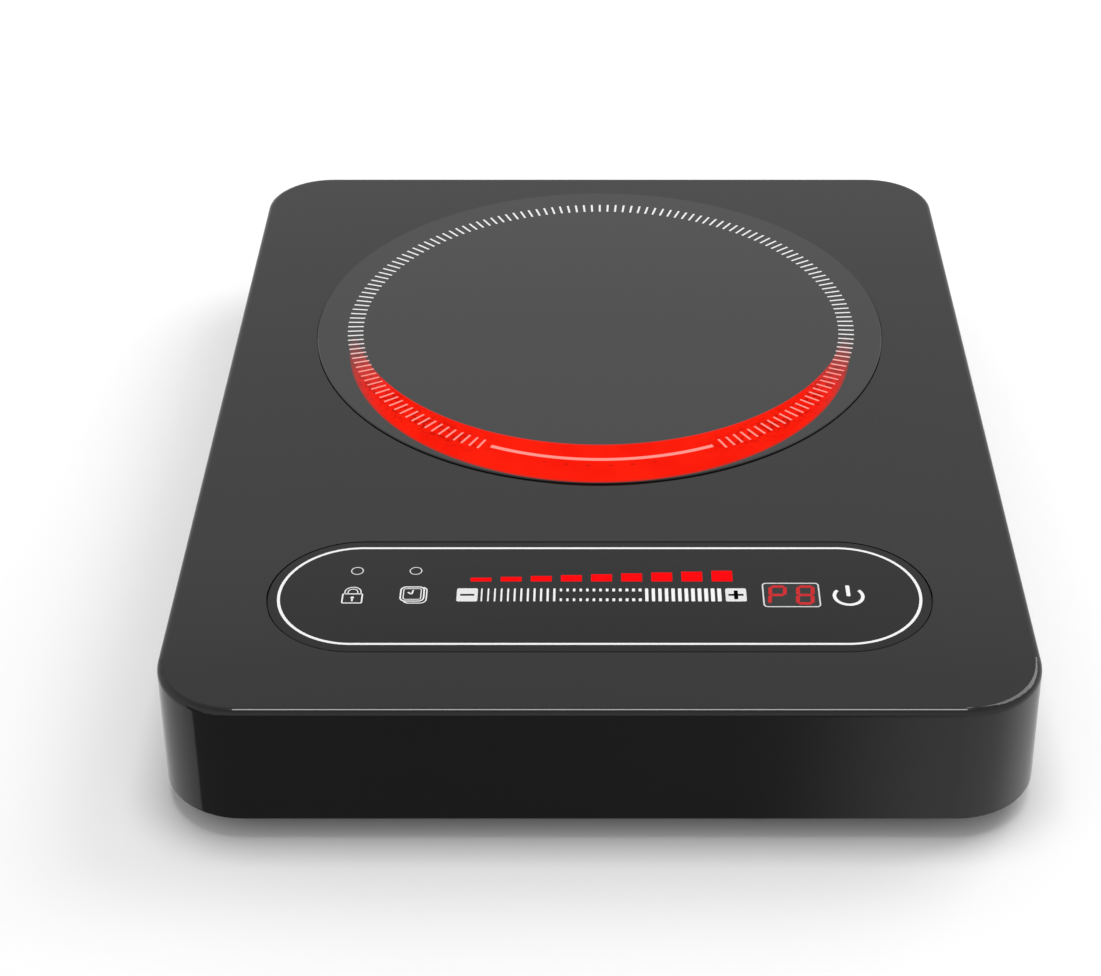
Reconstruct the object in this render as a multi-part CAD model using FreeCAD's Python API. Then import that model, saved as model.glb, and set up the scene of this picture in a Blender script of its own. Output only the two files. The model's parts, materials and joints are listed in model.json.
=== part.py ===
import FreeCAD, Part
import math
import os

# Portable induction cooktop. Millimetres, +Z up, front towards -Y.
# Origin: on the table, under the middle of the body.

V = FreeCAD.Vector
UP = V(0, 0, 1)

# Overall body
HEIGHT = 55.0              # table to the top of the walls
STAND_OFF = 8.6            # table to the lower edge of the walls
TOP_WIDTH = 301.7          # outline at the top of the walls
TOP_DEPTH = 384.5
FRONT_CORNER = 29.0        # plan corners at the top of the walls
REAR_CORNER = 27.0
DRAFT = math.radians(1.45)  # walls lean out towards the table
TOP_ROUND = 2.4            # rolled edge between top and walls
WALL = 2.6
TOP_PLATE = 3.0
CLEAR = 0.3                # gap between neighbouring shells

# Cooking disc
DISC_Y = 58.0              # centre of the disc and of the coil under it
DISC_RADIUS = 117.5
DISC_GAP = 0.35            # gap round the disc
DISC_THICK = 4.8
DISC_PROUD = 0.8           # how far the disc stands above the housing
LEDGE_RADIUS = 115.6       # inner edge of the ledge that carries the disc
LEDGE = 2.0
SEAL = 1.0

# Control glass, a rectangle with full round ends
PANEL_Y = -128.4
PANEL_LENGTH = 234.6
PANEL_WIDTH = 63.8
PANEL_GAP = 0.4
PANEL_THICK = 3.0
PANEL_SEAL = 0.6
PANEL_LEDGE_IN = 3.4       # how far the ledge reaches in under the glass

# Heights inside
BASE_LIFT = 0.3            # base cover above the walls' lower edge
BASE_PLATE = 2.2
BOARD = 1.6                # circuit board thickness
MAIN_BOARD_LIFT = 5.0
CARRIER_Z = 41.5
CARRIER_THICK = 2.3
COIL_HEIGHT = 2.8
MICA_THICK = 0.5
CONTROL_BOARD_Z = 44.0
BRACKET_THICK = 1.8

# Coil and light ring
COIL_INNER = 22.0
COIL_PITCH = 2.9
COIL_TURNS = 21
COIL_BAND = 2.5
COIL_POST_HEIGHT = 6.2
LEAD_RADIUS = 1.1
CARRIER_RADIUS = 88.0
CARRIER_RIM = 4.0
HUB_RADIUS = 14.0
SLEEVE_BORE = 6.2
SPOKES = 6
SPOKE_WIDTH = 10.0
FIRST_SPOKE = -10.0        # leaves room for the inner lead beside the hub
POST_RADIUS_AT = 92.0      # coil posts' distance from the coil's axis
GLOW_RADIUS = 103.0        # outer circle of the lit crescent
GLOW_SHIFT = 14.4          # that circle's centre, in front of the disc's
SHADE_RADIUS = 104.0       # inner circle of the crescent
SHADE_SHIFT = 14.0         # that circle's centre, behind the disc's
LED_RADIUS = 105.0
LED_COUNT = 15
LED_SPAN = 60.0            # degrees each side of the front

# Sensor
SPRING_FOOT = 27.0
PLUNGER_FOOT = 39.5
SPRING_RADIUS = 4.4
SPRING_WIRE = 0.45
SPRING_TURNS = 6
SLEEVE_WALL = 2.0

# Main board and fan
BOARD_X = (-15.0, 132.0)
BOARD_Y = (-178.0, -18.0)
FAN_X = -82.0
FAN_Y = -112.0
FAN_SIZE = 80.0
FAN_THICK = 20.0
FAN_BORE = 38.3
FAN_BLADES = 7

# Fasteners
SCREW_RADIUS = 1.25
SCREW_HOLE = 1.3
SCREW_PASS = 1.7
SCREW_HEAD = 2.7

# Heights that follow
BASE_Z = STAND_OFF + BASE_LIFT
FLOOR_Z = BASE_Z + BASE_PLATE
CEILING_Z = HEIGHT - TOP_PLATE
MAIN_Z = FLOOR_Z + MAIN_BOARD_LIFT
MAIN_TOP = MAIN_Z + BOARD
COIL_Z = CARRIER_Z + CARRIER_THICK
MICA_Z = COIL_Z + COIL_HEIGHT
COOK_Z = HEIGHT + DISC_PROUD
DISC_Z = COOK_Z - DISC_THICK
CONTROL_TOP = CONTROL_BOARD_Z + BOARD
PANEL_Z = HEIGHT - PANEL_THICK
BOSS_SPLIT = 20.0          # where the base bosses meet the housing bosses
FAN_Z = FLOOR_Z + 2.0
HOUSING_BOSSES = [(x, y) for x in (-138, 138) for y in (-173, 173)] + [(-141, -20), (141, -20)]
FOOT_PLACES = {"front_left_foot": (-122, -162), "front_right_foot": (122, -162),
               "rear_left_foot": (-122, 162), "rear_right_foot": (122, 162)}
COIL_POSTS = [(POST_RADIUS_AT * math.cos(math.radians(a)), DISC_Y + POST_RADIUS_AT * math.sin(math.radians(a)))
              for a in (45, 135, 225, 315)]
BOARD_POSTS = [(-9, -172), (126, -172), (-9, -24), (126, -24)]
FAN_POSTS = [(FAN_X + sx * 35.5, FAN_Y + sy * 35.5) for sx in (-1, 1) for sy in (-1, 1)]
BRACKET_POSTS = [(sx * 92, PANEL_Y + sy * 40) for sx in (-1, 1) for sy in (-1, 1)]
REAR = TOP_DEPTH / 2         # rear edge of the top
BUSH_X = 98.0
BUSH_Z = 25.0
BUSH_BORE = 3.8
BUSH_LENGTH = 13.0
KEY_X = {"lock": -87.3, "timer": -65.8, "minus": -46.8, "plus": 48.2, "power": 88.1}
KEY_Y = PANEL_Y
BAR_COUNT = 9
BAR_PITCH = 10.74
BAR_WIDTH = 7.7
BAR_LEFT = -46.1
BAR_FOOT_Y = PANEL_Y + 7.8
BAR_LOW = 2.8
BAR_HIGH = 6.8
LIGHT_TOP = PANEL_Z - 0.1
RIBBON_X = 64.0
RIBBON_Y = -148.5
RIBBON_WIDTH = 18.0
SOCKET_HEIGHT = 4.2


# ---- shape helpers ----

def box(x0, x1, y0, y1, z0, z1):
    """A block between two corners."""
    return Part.makeBox(x1 - x0, y1 - y0, z1 - z0, V(x0, y0, z0))


def rod(radius, z0, z1, x=0.0, y=0.0):
    """An upright cylinder."""
    return Part.makeCylinder(radius, z1 - z0, V(x, y, z0))


def ring(outer, inner, z0, z1, x=0.0, y=0.0):
    """An upright tube."""
    return rod(outer, z0, z1, x, y).cut(rod(inner, z0, z1, x, y))


def cross_rod(radius, y0, y1, x, z):
    """A cylinder lying along Y."""
    return Part.makeCylinder(radius, y1 - y0, V(x, y0, z), V(0, 1, 0))


def group(solids):
    """Separate solids that share one node."""
    return Part.makeCompound(list(solids))


def join(solids):
    """One solid out of touching or overlapping ones."""
    solids = list(solids)
    return solids[0].fuse(solids[1:]).removeSplitter()


def outline(width, depth, front, rear, z):
    """A rectangle with round corners as a wire, centred on the axis."""
    a = width / 2
    b = depth / 2
    edges = []
    for sx, sy, radius in ((1, 1, rear), (-1, 1, rear), (-1, -1, front), (1, -1, front)):
        k = radius * (1 - math.sqrt(0.5))
        side = V(sx * a, sy * (b - radius), z)
        middle = V(sx * (a - k), sy * (b - k), z)
        end = V(sx * (a - radius), sy * b, z)
        corner = (side, middle, end) if sx * sy > 0 else (end, middle, side)
        if edges:
            edges.append(Part.LineSegment(last, corner[0]).toShape())
        edges.append(Part.Arc(*corner).toShape())
        last = corner[2]
    edges.append(Part.LineSegment(last, V(a, b - rear, z)).toShape())
    return Part.Wire(edges)


def drafted_block(inset, z0, z1):
    """The body's outline, set in from the outer wall, between two heights."""
    wires = []
    for z in (z0, z1):
        grow = (HEIGHT - z) * math.tan(DRAFT) - inset
        wires.append(outline(TOP_WIDTH + 2 * grow, TOP_DEPTH + 2 * grow, FRONT_CORNER + grow,
                             REAR_CORNER + grow, z))
    return Part.makeLoft(wires, True, True)


def stadium(length, width, z0, z1, y):
    """A block with full round ends, long in X."""
    r = width / 2
    half = length / 2 - r
    middle = box(-half, half, y - r, y + r, z0, z1)
    return join([middle, rod(r, z0, z1, -half, y), rod(r, z0, z1, half, y)])


def screw(x, y, z_head, length, down=True):
    """A pan-head screw with a cross recess. z_head is the face that its head bears on."""
    s = -1 if down else 1
    tip = z_head + s * length
    head_end = z_head - s * 1.8
    body = join([rod(SCREW_RADIUS, min(z_head, tip), max(z_head, tip), x, y),
                 rod(SCREW_HEAD, min(z_head, head_end), max(z_head, head_end), x, y)])
    for wide, deep in ((1.6, 0.25), (0.25, 1.6)):
        slot = box(x - wide, x + wide, y - deep, y + deep,
                   min(head_end, head_end + s * 0.8), max(head_end, head_end + s * 0.8))
        body = body.cut(slot)
    return body


def bent_path(points):
    """Straight runs joined by tangent arcs, each as large as its two runs allow."""
    points = [V(*p) for p in points]
    edges = []
    last = points[0]
    for before, corner, after in zip(points, points[1:], points[2:]):
        a = (before - corner)
        b = (after - corner)
        run = min(a.Length, b.Length)
        half_turn = (math.pi - a.getAngle(b)) / 2
        reach = 0.45 * run
        radius = reach / math.tan(half_turn)
        start = corner + V(a).normalize() * reach
        end = corner + V(b).normalize() * reach
        inward = (V(a).normalize() + V(b).normalize()).normalize()
        middle = corner + inward * (radius / math.cos(half_turn) - radius)
        edges.append(Part.LineSegment(last, start).toShape())
        edges.append(Part.Arc(start, middle, end).toShape())
        last = end
    edges.append(Part.LineSegment(last, points[-1]).toShape())
    return Part.Wire(edges)


def lead(points, radius):
    """A round wire that follows a route."""
    path = bent_path(points)
    first = V(*points[1]) - V(*points[0])
    section = Part.Wire([Part.makeCircle(radius, V(*points[0]), first)])
    return path.makePipeShell([section], True, True)


# ---- housing ----

def upper_housing():
    """Moulded top and walls in one shell, open below."""
    outer = drafted_block(0, STAND_OFF, HEIGHT)
    top_edges = [e for e in outer.Edges if all(abs(v.Z - HEIGHT) < 1e-6 for v in e.Vertexes)]
    shell = outer.makeFillet(TOP_ROUND, top_edges).cut(drafted_block(WALL, STAND_OFF, CEILING_Z))
    disc_well = DISC_RADIUS + DISC_GAP
    disc_floor = DISC_Z - SEAL
    adds = [ring(disc_well + 2.2, disc_well, disc_floor - LEDGE, CEILING_Z, 0, DISC_Y),
            ring(disc_well + 2.2, LEDGE_RADIUS, disc_floor - LEDGE, disc_floor, 0, DISC_Y)]
    well_length = PANEL_LENGTH + 2 * PANEL_GAP
    well_width = PANEL_WIDTH + 2 * PANEL_GAP
    panel_floor = PANEL_Z - PANEL_SEAL
    tray = stadium(well_length + 4, well_width + 4, panel_floor - LEDGE, CEILING_Z, PANEL_Y)
    adds.append(tray)
    for x, y in HOUSING_BOSSES:
        adds.append(rod(4.5, BOSS_SPLIT, CEILING_Z + 1, x, y))
    for x, y in BRACKET_POSTS:
        adds.append(rod(3.2, CONTROL_BOARD_Z, CEILING_Z + 1, x, y))
    adds.append(box(BUSH_X - 12, BUSH_X + 12, REAR - 12.5, REAR - 1.4, 14, 36))
    shell = shell.fuse(adds)
    shell = shell.common(drafted_block(0, STAND_OFF, HEIGHT))
    cuts = [rod(disc_well, disc_floor, HEIGHT + 1, 0, DISC_Y),
            rod(LEDGE_RADIUS, disc_floor - LEDGE - 1, disc_floor + 1, 0, DISC_Y),
            stadium(well_length, well_width, panel_floor, HEIGHT + 1, PANEL_Y),
            stadium(well_length - 2 * PANEL_LEDGE_IN, well_width - 2 * PANEL_LEDGE_IN,
                    panel_floor - LEDGE - 1, HEIGHT, PANEL_Y)]
    for x, y in HOUSING_BOSSES:
        cuts.append(rod(SCREW_HOLE, BOSS_SPLIT - 1, BOSS_SPLIT + 14, x, y))
    for x, y in BRACKET_POSTS:
        cuts.append(rod(SCREW_HOLE, CONTROL_BOARD_Z - 1, CONTROL_BOARD_Z + 6.5, x, y))
    cuts.append(cross_rod(6.2, REAR - 16, REAR + 4, BUSH_X, BUSH_Z))
    cuts.append(cross_rod(8.4, REAR - 1.4, REAR + 4, BUSH_X, BUSH_Z))
    cuts.extend(rear_vents())
    for tool in cuts:
        shell = shell.cut(tool)
    return shell


def rear_vents():
    """Upright round-ended slots through the rear wall, in two groups."""
    slots = []
    for first in (-112, -8):
        for i in range(13):
            x = first + i * 6.6
            slots.append(join([box(x - 1.5, x + 1.5, REAR - 8, REAR + 4, 21, 37),
                               cross_rod(1.5, REAR - 8, REAR + 4, x, 21),
                               cross_rod(1.5, REAR - 8, REAR + 4, x, 37)]))
    return slots


def base_cover():
    """Floor of the body: plate, rim, intake and outlet slots, posts and bosses."""
    plate = drafted_block(WALL + CLEAR, BASE_Z, FLOOR_Z)
    rim = drafted_block(WALL + 2 * CLEAR, FLOOR_Z, FLOOR_Z + 4)
    rim = rim.cut(drafted_block(WALL + 2 * CLEAR + 1.6, FLOOR_Z - 1, FLOOR_Z + 5))
    rim = rim.cut(box(BUSH_X - 14, BUSH_X + 14, 170, 195, FLOOR_Z + 1, FLOOR_Z + 5))
    adds = [rim]
    adds.extend(rod(4.5, FLOOR_Z, BOSS_SPLIT, x, y) for x, y in HOUSING_BOSSES)
    adds.extend(rod(4.0, FLOOR_Z, CARRIER_Z, x, y) for x, y in COIL_POSTS)
    adds.extend(rod(3.0, FLOOR_Z, MAIN_Z, x, y) for x, y in BOARD_POSTS)
    adds.extend(rod(3.4, FLOOR_Z, FAN_Z, x, y) for x, y in FAN_POSTS)
    cover = plate.fuse(adds)
    cuts = []
    for x, y in HOUSING_BOSSES:
        cuts.append(rod(SCREW_PASS, BASE_Z - 1, BOSS_SPLIT + 1, x, y))
        cuts.append(rod(3.2, BASE_Z - 1, BASE_Z + 6, x, y))
    for x, y in COIL_POSTS:
        cuts.append(rod(SCREW_HOLE, CARRIER_Z - 12, CARRIER_Z + 1, x, y))
    for x, y in BOARD_POSTS:
        cuts.append(rod(SCREW_HOLE, BASE_Z + 1, MAIN_Z + 1, x, y))
    for x, y in FAN_POSTS:
        cuts.append(rod(SCREW_HOLE, BASE_Z + 1, FAN_Z + 1, x, y))
    for x, y in FOOT_PLACES.values():
        cuts.append(rod(3.0, BASE_Z - 1, FLOOR_Z + 1, x, y))
    cuts.extend(intake_slots())
    cuts.extend(outlet_slots())
    for tool in cuts:
        cover = cover.cut(tool)
    return cover


def floor_slot(x, y0, y1):
    """A round-ended slot through the base plate, long in Y."""
    z0 = BASE_Z - 1
    z1 = FLOOR_Z + 1
    return join([box(x - 1.5, x + 1.5, y0, y1, z0, z1), rod(1.5, z0, z1, x, y0), rod(1.5, z0, z1, x, y1)])


def intake_slots():
    """Slots under the fan, as long as a circle lets them be, with a bar across the middle."""
    slots = []
    for i in range(-6, 7):
        offset = i * 5.4
        half = math.sqrt(36.0 ** 2 - offset ** 2) - 1.5
        for sy in (-1, 1):
            ends = sorted((FAN_Y + sy * 4.0, FAN_Y + sy * half))
            slots.append(floor_slot(FAN_X + offset, ends[0], ends[1]))
    return slots


def outlet_slots():
    """Two rows of slots near the rear wall."""
    slots = []
    for row in (118, 148):
        for i in range(21):
            slots.append(floor_slot(-72 + i * 7.2, row, row + 20))
    return slots


def foot(x, y):
    """A tapered rubber foot with a stem through the base cover and a head above it."""
    pad = Part.makeCone(10.0, 11.5, BASE_Z, V(x, y, 0))
    rest = pad.cut(rod(6.0, -1, 1.2, x, y))
    stem = rod(2.8, BASE_Z, FLOOR_Z + 0.4, x, y)
    head = Part.makeCone(4.2, 2.6, 2.6, V(x, y, FLOOR_Z + 0.1))
    return join([rest, stem, head])


def housing_screws():
    """Screws that come up through the base cover into the housing."""
    return group(screw(x, y, BASE_Z + 6, 17, down=False) for x, y in HOUSING_BOSSES)


def cord_bush():
    """Bush in the rear wall that the supply cord passes through."""
    seat = REAR - 1.3
    back = REAR - 12.7
    body = join([cross_rod(6.0, back, seat, BUSH_X, BUSH_Z),
                 cross_rod(8.1, seat, REAR + 0.3, BUSH_X, BUSH_Z),
                 cross_rod(7.4, back - 1.4, back, BUSH_X, BUSH_Z)])
    return body.cut(cross_rod(BUSH_BORE, REAR - 20, REAR + 4, BUSH_X, BUSH_Z))


# ---- glass and seals ----

def glass_disc():
    """Round cooking glass with a small ground edge."""
    disc = rod(DISC_RADIUS, DISC_Z, COOK_Z, 0, DISC_Y)
    return disc.makeChamfer(0.35, [e for e in disc.Edges if abs(e.BoundBox.ZMin - COOK_Z) < 1e-6])


def disc_seal():
    """Silicone ring between the disc and its ledge."""
    return ring(DISC_RADIUS - 0.3, LEDGE_RADIUS + 0.2, DISC_Z - SEAL, DISC_Z, 0, DISC_Y)


def control_glass():
    """Round-ended glass over the controls."""
    glass = stadium(PANEL_LENGTH, PANEL_WIDTH, PANEL_Z, HEIGHT, PANEL_Y)
    top_edges = [e for e in glass.Edges if abs(e.BoundBox.ZMin - HEIGHT) < 1e-6]
    return glass.makeChamfer(0.2, top_edges)


def control_seal():
    """Adhesive frame under the control glass."""
    outer = stadium(PANEL_LENGTH - 0.4, PANEL_WIDTH - 0.4, PANEL_Z - PANEL_SEAL, PANEL_Z, PANEL_Y)
    inner = stadium(PANEL_LENGTH - 5.4, PANEL_WIDTH - 5.4, PANEL_Z - 2, PANEL_Z + 1, PANEL_Y)
    return outer.cut(inner)


# ---- light ring ----

def front_sector(span, radius, z0, z1):
    """A wedge about the disc's axis, open towards the front."""
    a = math.radians(span)
    reach = radius / math.cos(a / 2) * 1.2
    corners = [V(0, DISC_Y, z0)]
    for t in (-a, -a / 2, 0, a / 2, a):
        corners.append(V(reach * math.sin(t), DISC_Y - reach * math.cos(t), z0))
    corners.append(corners[0])
    return Part.Face(Part.makePolygon(corners)).extrude(V(0, 0, z1 - z0))


def light_guide():
    """Crescent of clear acrylic that spreads the red light under the front of the disc."""
    z0 = MICA_Z + 0.6
    crescent = rod(GLOW_RADIUS, z0, DISC_Z, 0, DISC_Y - GLOW_SHIFT)
    crescent = crescent.cut(rod(SHADE_RADIUS, z0 - 1, DISC_Z + 1, 0, DISC_Y + SHADE_SHIFT))
    crescent = crescent.common(rod(LEDGE_RADIUS - 0.4, z0, DISC_Z, 0, DISC_Y))
    return crescent.common(front_sector(72, 130, z0 - 1, DISC_Z + 1))


def light_board():
    """Arc-shaped circuit board under the light guide."""
    z1 = COIL_Z + BOARD
    arc = ring(112.5, 97.5, COIL_Z, z1, 0, DISC_Y)
    return arc.common(front_sector(66, 130, COIL_Z - 1, z1 + 1))


def ring_lights():
    """Red lights along the light board."""
    lights = []
    z0 = COIL_Z + BOARD
    for i in range(LED_COUNT):
        turn = -LED_SPAN + i * 2 * LED_SPAN / (LED_COUNT - 1)
        light = box(-1.75, 1.75, -LED_RADIUS - 1.4, -LED_RADIUS + 1.4, z0, z0 + 1.6)
        light.rotate(V(0, 0, 0), UP, turn)
        light.translate(V(0, DISC_Y, 0))
        lights.append(light)
    return group(lights)


# ---- coil ----

def spiral_band(z0, z1):
    """Flat spiral made of half circles about two centres half a pitch apart."""
    outer = []
    inner = []
    for k in range(2 * COIL_TURNS):
        radius = COIL_INNER + k * COIL_PITCH / 2
        centre = V(0, DISC_Y, z0) if k % 2 == 0 else V(COIL_PITCH / 2, DISC_Y, z0)
        side = 1 if k % 2 == 0 else -1
        for store, r in ((outer, radius + COIL_BAND / 2), (inner, radius - COIL_BAND / 2)):
            store.append(Part.Arc(centre + V(side * r, 0, 0), centre + V(0, -side * r, 0),
                                  centre + V(-side * r, 0, 0)))
    start = Part.LineSegment(inner[0].StartPoint, outer[0].StartPoint).toShape()
    end = Part.LineSegment(outer[-1].EndPoint, inner[-1].EndPoint).toShape()
    edges = [start] + [a.toShape() for a in outer] + [end] + [a.toShape() for a in reversed(inner)]
    return Part.Face(Part.Wire(edges)).extrude(V(0, 0, z1 - z0))


def induction_coil():
    """Flat litz coil that lies on the carrier."""
    return spiral_band(COIL_Z, MICA_Z)


def coil_carrier():
    """Spoked carrier with a sensor sleeve, mounting ears and arms for the light board."""
    z0 = CARRIER_Z
    z1 = COIL_Z
    adds = [ring(CARRIER_RADIUS, CARRIER_RADIUS - CARRIER_RIM, z0, z1, 0, DISC_Y),
            ring(HUB_RADIUS, SLEEVE_BORE, z0, z1, 0, DISC_Y),
            ring(SLEEVE_BORE + SLEEVE_WALL, SLEEVE_BORE, SPRING_FOOT, z0, 0, DISC_Y),
            ring(SLEEVE_BORE + SLEEVE_WALL, 2.2, SPRING_FOOT - SLEEVE_WALL, SPRING_FOOT, 0, DISC_Y)]
    for i in range(SPOKES):
        spoke = box(HUB_RADIUS - 2, CARRIER_RADIUS - 2, -SPOKE_WIDTH / 2, SPOKE_WIDTH / 2, z0, z1)
        adds.append(turned(spoke, FIRST_SPOKE + i * 360 / SPOKES))
    for i in range(4):
        ear = join([box(CARRIER_RADIUS - 2, POST_RADIUS_AT, -4, 4, z0, z1), rod(4, z0, z1, POST_RADIUS_AT, 0)])
        adds.append(turned(ear, 45 + i * 90))
    for angle in (-138, -90, -42):
        adds.append(turned(box(CARRIER_RADIUS - 2, 111, -4, 4, z0, z1), angle))
    carrier = join(adds)
    for x, y in COIL_POSTS:
        carrier = carrier.cut(rod(SCREW_PASS, z0 - 1, z1 + 1, x, y))
    return carrier


def turned(shape, degrees):
    """A shape drawn along +X from the axis, turned and moved to the coil's axis."""
    shape.rotate(V(0, 0, 0), UP, degrees)
    shape.translate(V(0, DISC_Y, 0))
    return shape


def ferrite_bars():
    """Ferrite bars glued under the spokes."""
    bars = [turned(box(24, 76, -4, 4, CARRIER_Z - 3.6, CARRIER_Z), FIRST_SPOKE + i * 360 / SPOKES)
            for i in range(SPOKES)]
    return group(bars)


def mica_sheet():
    """Mica disc that lies on the coil."""
    return ring(CARRIER_RADIUS - 1, 9.0, MICA_Z, MICA_Z + MICA_THICK, 0, DISC_Y)


def coil_screws():
    """Screws through the carrier's ears into the base posts."""
    return group(screw(x, y, COIL_Z, 11) for x, y in COIL_POSTS)


def coil_leads():
    """The coil's two ends, led down to the main board's screw posts."""
    z = COIL_Z + COIL_HEIGHT / 2
    end_x = COIL_INNER + COIL_TURNS * COIL_PITCH
    post_z = MAIN_TOP + COIL_POST_HEIGHT + 1.3
    outer = [(end_x, DISC_Y - 0.4, z), (89, 33, z), (96, 12, 38), (99, -12, 30), (102, -26.5, post_z)]
    inner = [(COIL_INNER, DISC_Y + 0.4, z), (21, 64.5, z - 0.4), (17.8, 66, 40), (19.5, 63, 35),
             (36, 48, 34), (68, 20, 33), (102, -6, 31), (112, -26.5, post_z)]
    return group([lead(outer, LEAD_RADIUS), lead(inner, LEAD_RADIUS)])


# ---- sensor ----

def sensor_holder():
    """Plunger that slides in the sleeve and presses the sensor to the disc."""
    z1 = DISC_Z - 1.7
    plunger = join([rod(SLEEVE_BORE - 0.06, PLUNGER_FOOT, z1 - 3, 0, DISC_Y), rod(4.6, z1 - 3, z1, 0, DISC_Y)])
    return plunger.cut(rod(1.8, PLUNGER_FOOT - 1, z1 - 2.2, 0, DISC_Y))


def thermistor():
    """Glass-bead thermistor in a flat metal cap on the plunger."""
    z0 = DISC_Z - 1.7
    return rod(4.0, z0, DISC_Z - 0.1, 0, DISC_Y)


def sensor_spring():
    """Coil spring under the plunger."""
    z0 = SPRING_FOOT + SPRING_WIRE
    z1 = PLUNGER_FOOT - SPRING_WIRE
    pitch = (z1 - z0) / SPRING_TURNS
    helix = Part.makeHelix(pitch, z1 - z0, SPRING_RADIUS)
    rise = pitch / (2 * math.pi * SPRING_RADIUS)
    section = Part.Wire([Part.makeCircle(SPRING_WIRE, V(SPRING_RADIUS, 0, 0), V(0, 1, rise))])
    spring = Part.Wire(helix.Edges).makePipeShell([section], True, True)
    spring.translate(V(0, DISC_Y, z0))
    return spring


# ---- controls ----

def control_bracket():
    """Plastic bracket that holds the control board up under the housing."""
    z0 = CONTROL_BOARD_Z - BRACKET_THICK
    z1 = CONTROL_BOARD_Z
    plate = box(-108, 108, PANEL_Y - 20, PANEL_Y + 20, z0, z1)
    windows = [box(-100 + i * 52, -58 + i * 52, PANEL_Y - 15, PANEL_Y + 15, z0 - 1, z1 + 1) for i in range(4)]
    for window in windows:
        plate = plate.cut(window)
    ears = []
    for x, y in BRACKET_POSTS:
        inner = PANEL_Y + math.copysign(18, y - PANEL_Y)
        ears.append(box(x - 4.5, x + 4.5, min(y, inner), max(y, inner), z0, z1))
        ears.append(rod(4.5, z0, z1, x, y))
    bracket = join([plate] + ears)
    for x, y in BRACKET_POSTS:
        bracket = bracket.cut(rod(SCREW_PASS, z0 - 1, z1 + 1, x, y))
    return bracket


def control_board():
    """Circuit board with the touch keys and displays."""
    return box(-106, 106, PANEL_Y - 20, PANEL_Y + 20, CONTROL_BOARD_Z, CONTROL_TOP)


def touch_springs():
    """One conical touch spring under each key."""
    springs = []
    for x in KEY_X.values():
        cone = Part.makeCone(3.2, 4.4, LIGHT_TOP - CONTROL_TOP, V(x, KEY_Y, CONTROL_TOP))
        bore = Part.makeCone(2.4, 3.6, LIGHT_TOP - CONTROL_TOP - 0.8, V(x, KEY_Y, CONTROL_TOP))
        springs.append(cone.cut(bore))
    return group(springs)


def slider_electrode():
    """Conductive strip under the slider scale."""
    return box(-41, 43.6, KEY_Y - 4, KEY_Y + 4, CONTROL_TOP, LIGHT_TOP)


def level_bars():
    """Light boxes of the nine level bars, which grow to the right."""
    bars = []
    for i in range(BAR_COUNT):
        x = BAR_LEFT + i * BAR_PITCH
        tall = BAR_LOW + (BAR_HIGH - BAR_LOW) * i / (BAR_COUNT - 1)
        bars.append(box(x, x + BAR_WIDTH, BAR_FOOT_Y, BAR_FOOT_Y + tall, CONTROL_TOP, LIGHT_TOP))
    return group(bars)


def digit_display():
    """Two-digit seven-segment display module."""
    return box(57.6, 77.9, -134.8, -120.2, CONTROL_TOP, LIGHT_TOP)


def indicator_lights():
    """Lock and timer indicators."""
    return group(rod(1.6, CONTROL_TOP, LIGHT_TOP - 0.6, x, -113.4) for x in (-86.8, -65.9))


def control_chip():
    """Touch controller on the control board."""
    return box(-30, -20, -145, -135, CONTROL_TOP, CONTROL_TOP + 1.5)


def sounder():
    """Round sounder on the control board."""
    return ring(6.0, 1.0, CONTROL_TOP, CONTROL_TOP + 4.6, 10, -140)


def control_screws():
    """Screws that come up through the bracket's ears."""
    z0 = CONTROL_BOARD_Z - BRACKET_THICK
    return group(screw(x, y, z0, 8.0, down=False) for x, y in BRACKET_POSTS)


def ribbon_cable():
    """Flat cable from the control board's front edge down to its socket."""
    y = RIBBON_Y
    route = [(RIBBON_X, y + 2.5, CONTROL_TOP + 0.3), (RIBBON_X, y - 4.5, CONTROL_TOP + 0.3),
             (RIBBON_X, y - 4, 36), (RIBBON_X, y, 29), (RIBBON_X, y, MAIN_TOP + SOCKET_HEIGHT)]
    half = RIBBON_WIDTH / 2
    corners = [V(RIBBON_X + sx * half, y + 2.5, CONTROL_TOP + 0.3 + sz * 0.25)
               for sx, sz in ((-1, -1), (1, -1), (1, 1), (-1, 1), (-1, -1))]
    return bent_path(route).makePipeShell([Part.makePolygon(corners)], True, True)


# ---- main board ----

def main_board():
    """Power board on the base posts."""
    board = box(BOARD_X[0], BOARD_X[1], BOARD_Y[0], BOARD_Y[1], MAIN_Z, MAIN_TOP)
    for x, y in BOARD_POSTS:
        board = board.cut(rod(SCREW_PASS, MAIN_Z - 1, MAIN_TOP + 1, x, y))
    return board


def on_board(x0, x1, y0, y1, height):
    """A block that stands on the main board."""
    return box(x0, x1, y0, y1, MAIN_TOP, MAIN_TOP + height)


def heat_sink():
    """Extruded aluminium: an upright plate with level fins towards the front."""
    x0 = 8.0
    x1 = 80.0
    fins = [on_board(x0, x1, -86, -82, 21)]
    for i in range(6):
        z = MAIN_TOP + i * 3.9
        fins.append(box(x0, x1, -138, -85, z, z + 1.5))
    return join(fins)


def power_transistor():
    """Switching transistor on the heat sink's plate."""
    return on_board(18, 34, -82, -77, 20)


def bridge_rectifier():
    """Mains rectifier on the heat sink's plate."""
    return on_board(44, 74, -82, -77.4, 19)


def device_screws():
    """Screws that hold both power devices to the heat sink."""
    screws = []
    for x, face in ((26, -77), (59, -77.4)):
        z = MAIN_TOP + 15.5
        screws.append(cross_rod(2.6, face, face + 1.8, x, z))
    return group(screws)


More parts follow.
